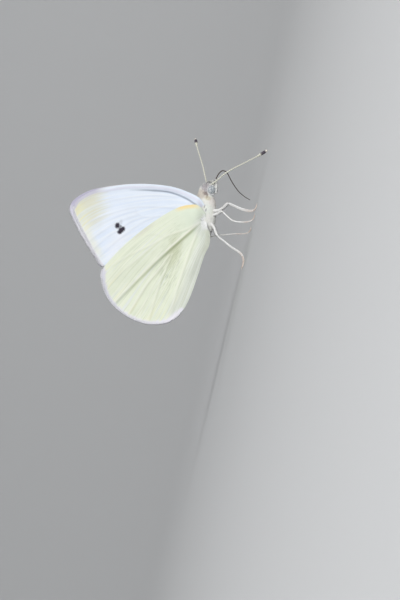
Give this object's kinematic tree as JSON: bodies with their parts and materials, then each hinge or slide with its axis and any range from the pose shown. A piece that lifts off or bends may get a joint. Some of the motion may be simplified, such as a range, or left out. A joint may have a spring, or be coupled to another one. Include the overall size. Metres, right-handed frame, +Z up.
{
  "type": "white butterfly",
  "caption": "White butterfly standing on its feet with wings closed upright over its back, antennae spread and proboscis extended; a still, life-size model.",
  "frame": {"origin": "centre of the bounding box at floor level, under the butterfly", "axes": "+X forward towards the head, +Y the butterfly's left, +Z up; the wings stand in planes parallel to XZ"},
  "size_m": [0.0376, 0.0134, 0.0348],
  "materials": {
    "forewing": "matte bluish-white scales, pale yellow at the tip, one dark two-lobed spot",
    "hindwing": "matte pale yellow-green scales dusted with grey",
    "body": "creamy to greyish-white hair, brownish on the collar",
    "eye": "pale greenish grey, satin",
    "limb": "white scales",
    "antenna": "dark, ringed with white, with a dark club and a pale tip",
    "proboscis": "dark brown, satin"
  },
  "bodies": {
    "root": {"head": "body", "thorax": "body", "abdomen": "body", "eye_left": "eye", "eye_right": "eye", "antenna_left": "antenna", "antenna_right": "antenna", "palp_left": "limb", "palp_right": "limb", "proboscis": "proboscis", "forewing_left": "forewing", "forewing_right": "forewing", "hindwing_left": "hindwing", "hindwing_right": "hindwing", "foreleg_left": "limb", "foreleg_right": "limb", "midleg_left": "limb", "midleg_right": "limb", "hindleg_left": "limb", "hindleg_right": "limb"}
  },
  "joints": []
}
